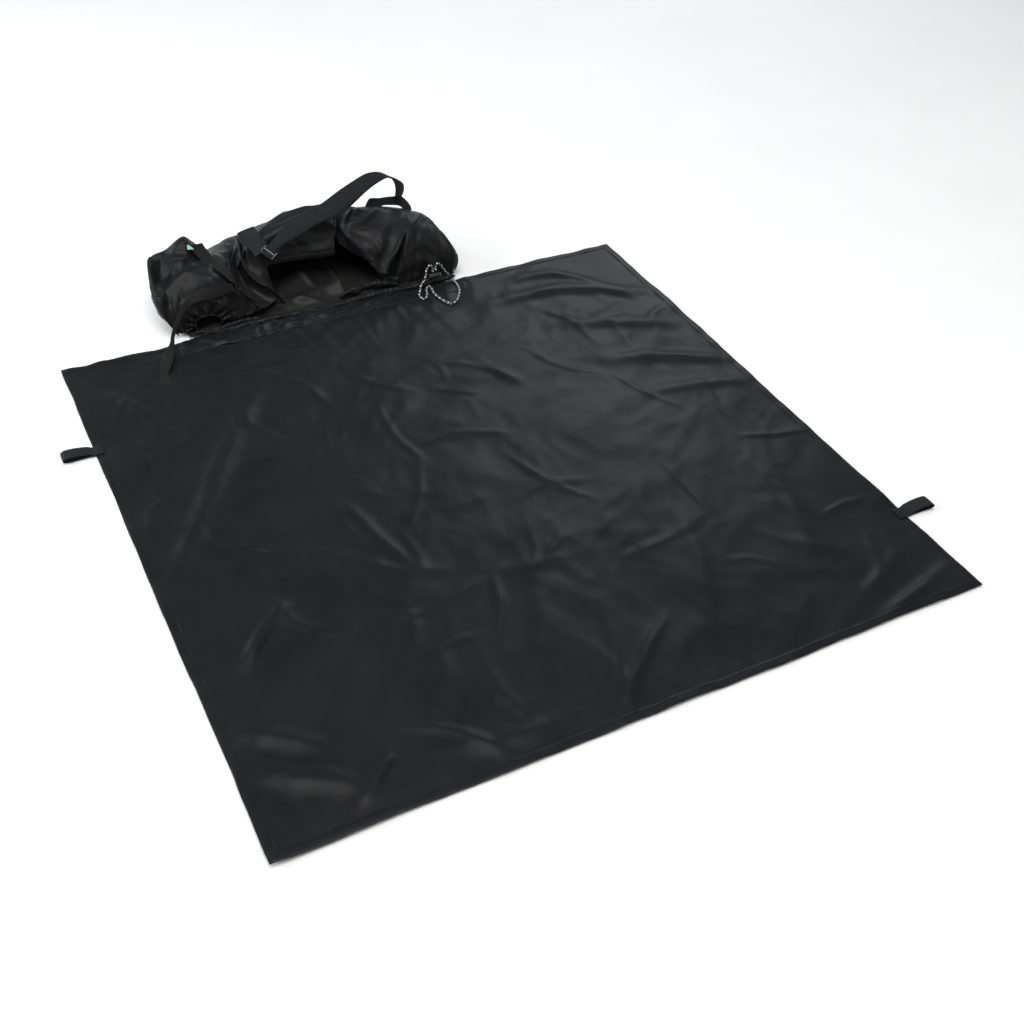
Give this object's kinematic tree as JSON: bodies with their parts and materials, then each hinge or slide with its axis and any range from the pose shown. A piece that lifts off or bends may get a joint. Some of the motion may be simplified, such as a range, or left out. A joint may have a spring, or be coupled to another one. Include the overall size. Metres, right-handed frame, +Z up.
{
  "type": "rope storage bag",
  "caption": "Drawcord rope sack sewn to the back edge of a square ground sheet, with a carry strap, cord lock and webbing side tabs.",
  "frame": {"origin": "centre of the ground sheet, on its underside", "axes": "+X along the sheet's back edge, +Y from the front edge towards the sack, +Z up"},
  "size_m": [1.314, 1.5041, 0.1995],
  "materials": {
    "sheet_nylon": "coated plain-weave nylon, satin",
    "bag_nylon": "coated plain-weave nylon, satin",
    "lining": "coated inner face, dull",
    "webbing": "woven polyester webbing",
    "drawcord": "braided cord, dark with white flecks",
    "plastic": "moulded acetal",
    "spring_steel": "spring wire",
    "label": "woven side label, plain"
  },
  "bodies": {
    "bag": {"ground_sheet_rear": "sheet_nylon", "mouth_seam_band": "sheet_nylon", "left_tab_sewn_end": "webbing", "bag_floor_panel": "lining", "left_end_hood": "bag_nylon", "back_panel": "bag_nylon", "right_end_hood": "bag_nylon", "label_tab": "label", "drawcord_run": "drawcord", "hem_channel_front": "bag_nylon", "hem_channel_left_foot": "bag_nylon", "hem_channel_left_rim": "bag_nylon", "hem_channel_back": "bag_nylon", "hem_channel_right_rim": "bag_nylon", "hem_channel_right_foot": "bag_nylon", "drawcord_loop": "drawcord", "anchor_webbing_right": "webbing", "anchor_webbing_left": "webbing", "tail_webbing_upper": "webbing"},
    "sheet_front": {"ground_sheet_front": "sheet_nylon", "right_tab_sewn_end": "webbing"},
    "left_tab": {"left_side_tab": "webbing"},
    "right_tab": {"right_side_tab": "webbing"},
    "cord_lock": {"cord_lock_barrel": "plastic", "cord_lock_spring": "spring_steel"},
    "cord_lock_plunger": {"cord_lock_button": "plastic"},
    "carry_strap_body": {"carry_strap": "webbing", "strap_end_webbing": "webbing"},
    "slider": {"strap_slider": "plastic"},
    "tail_strap": {"tail_webbing_lower": "webbing"}
  },
  "joints": [
    {"name": "sheet_front_fold", "type": "hinge", "parent": "bag", "child": "sheet_front", "pos_m": [0, -0.04, 0.02], "axis": [-1, 0, 0], "range_deg": [0, 165]},
    {"name": "left_tab_fold", "type": "hinge", "parent": "bag", "child": "left_tab", "pos_m": [-0.6005, 0.331, 0.0036], "axis": [0, 1, 0], "range_deg": [0, 125]},
    {"name": "right_tab_fold", "type": "hinge", "parent": "sheet_front", "child": "right_tab", "pos_m": [0.6005, -0.405, 0.0036], "axis": [0, -1, 0], "range_deg": [0, 125]},
    {"name": "cord_lock_slide", "type": "slide", "parent": "bag", "child": "cord_lock", "axis": [0, 0.3159, 0.9488], "range_m": [0, 0.003]},
    {"name": "cord_lock_press", "type": "slide", "parent": "cord_lock", "child": "cord_lock_plunger", "axis": [-1, 0, 0], "range_m": [0, 0.003], "stiffness_N_per_m": 1200, "springref_m": -0.002},
    {"name": "carry_strap_swing", "type": "hinge", "parent": "bag", "child": "carry_strap_body", "pos_m": [-0.158, 0.68, 0.112], "axis": [0.968, 0.243, 0.062], "range_deg": [0, 40]},
    {"name": "strap_slider_slide", "type": "slide", "parent": "carry_strap_body", "child": "slider", "axis": [0.8278, 0.423, 0.3686], "range_m": [0, 0.012]},
    {"name": "tail_strap_lift", "type": "hinge", "parent": "bag", "child": "tail_strap", "pos_m": [-0.241, 0.6385, 0.077], "axis": [-0.7071, 0.7071, 0], "range_deg": [0, 22]}
  ]
}
